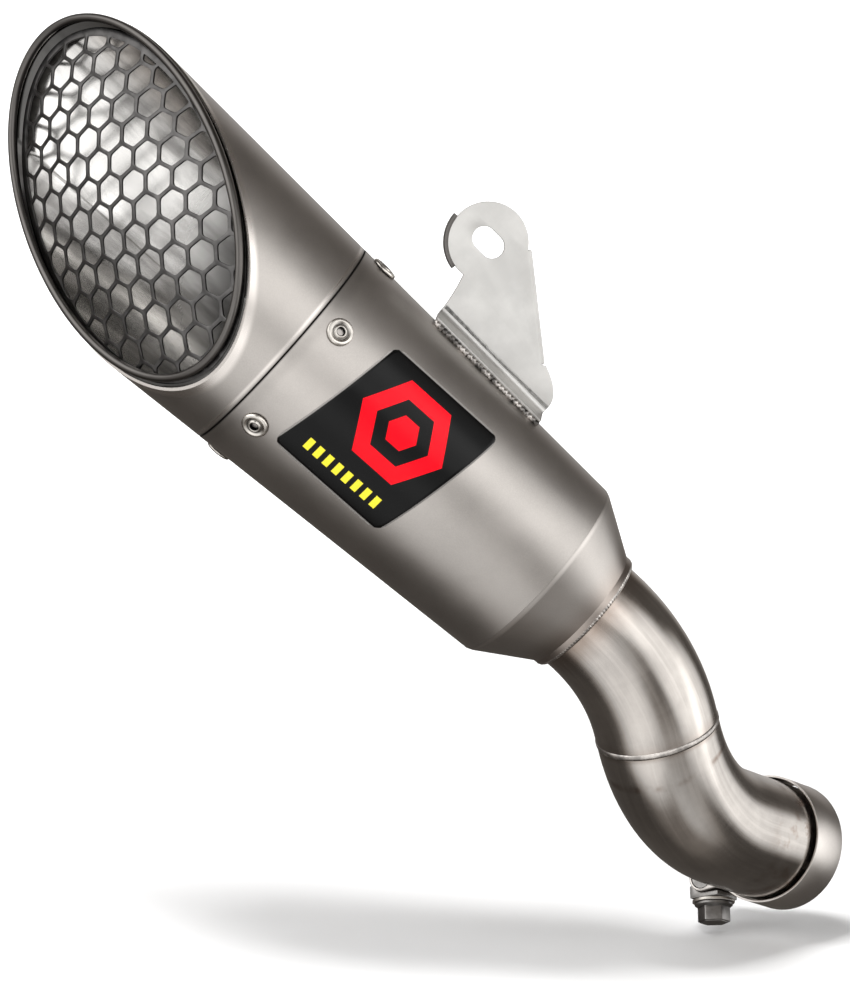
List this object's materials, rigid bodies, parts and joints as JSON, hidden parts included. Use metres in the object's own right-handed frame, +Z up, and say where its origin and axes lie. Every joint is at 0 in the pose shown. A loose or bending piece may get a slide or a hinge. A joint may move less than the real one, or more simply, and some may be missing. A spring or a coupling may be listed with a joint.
{
  "type": "racing exhaust silencer",
  "caption": "Tapered motorcycle silencer with a slash-cut screened outlet, a hanger bracket, a bent link pipe and a bolted socket clamp.",
  "frame": {"origin": "centre of the socket's mouth, where the header pipe enters", "axes": "+Z up as the part stands in its reference pose, -Y towards the badge side, -X towards the outlet"},
  "size_m": [0.3678, 0.1715, 0.4139],
  "materials": {
    "titanium_blasted": "satin bead-blasted titanium",
    "titanium_brushed": "brushed titanium with a warm heat tint",
    "titanium_bright": "bright formed titanium",
    "titanium_bracket": "fine satin titanium plate",
    "titanium_dark": "dark brushed metal",
    "fastener_steel": "plated steel",
    "badge_enamel": null,
    "packing_fibre": "woolly glass fibre"
  },
  "bodies": {
    "silencer": {"badge_plate": "badge_enamel", "front_baffle": "titanium_bright", "hanger_bracket": "titanium_bracket", "hex_screen": "titanium_dark", "inlet_cone": "titanium_blasted", "lower_link_pipe": "titanium_brushed", "outer_sleeve": "titanium_blasted", "outlet_cap": "titanium_blasted", "outlet_liner": "titanium_bright", "outlet_rim": "titanium_dark", "packing_blanket": "packing_fibre", "perforated_core": "titanium_bright", "rear_baffle": "titanium_bright", "rivet_1": "fastener_steel", "rivet_2": "fastener_steel", "rivet_3": "fastener_steel", "rivet_4": "fastener_steel", "rivet_5": "fastener_steel", "rivet_6": "fastener_steel", "spigot_ring": "titanium_bright", "upper_link_pipe": "titanium_brushed"},
    "clamp": {"clamp_band": "titanium_blasted", "clamp_trunnion": "fastener_steel", "clamp_nut_bar": "fastener_steel", "clamp_saddle": "fastener_steel"},
    "washer": {"clamp_washer": "fastener_steel"},
    "bolt": {"clamp_bolt": "fastener_steel"}
  },
  "joints": [
    {"name": "clamp_swivel", "type": "hinge", "parent": "silencer", "child": "clamp", "pos_m": [0, 0, 0], "axis": [-0.6151, -0.7026, 0.3577], "continuous": true},
    {"name": "bolt_travel", "type": "slide", "parent": "clamp", "child": "washer", "axis": [0.0002, -0.4538, -0.8911], "range_m": [0, 0.0101]},
    {"name": "bolt_turn", "type": "hinge", "parent": "washer", "child": "bolt", "pos_m": [-0.03268, 0.00121, -0.02531], "axis": [0.0002, -0.4538, -0.8911], "range_deg": [0, 2880]}
  ],
  "couplings": [
    {"joint": "bolt_travel", "follows": "bolt_turn", "m_per_rad": 0.00019894}
  ]
}
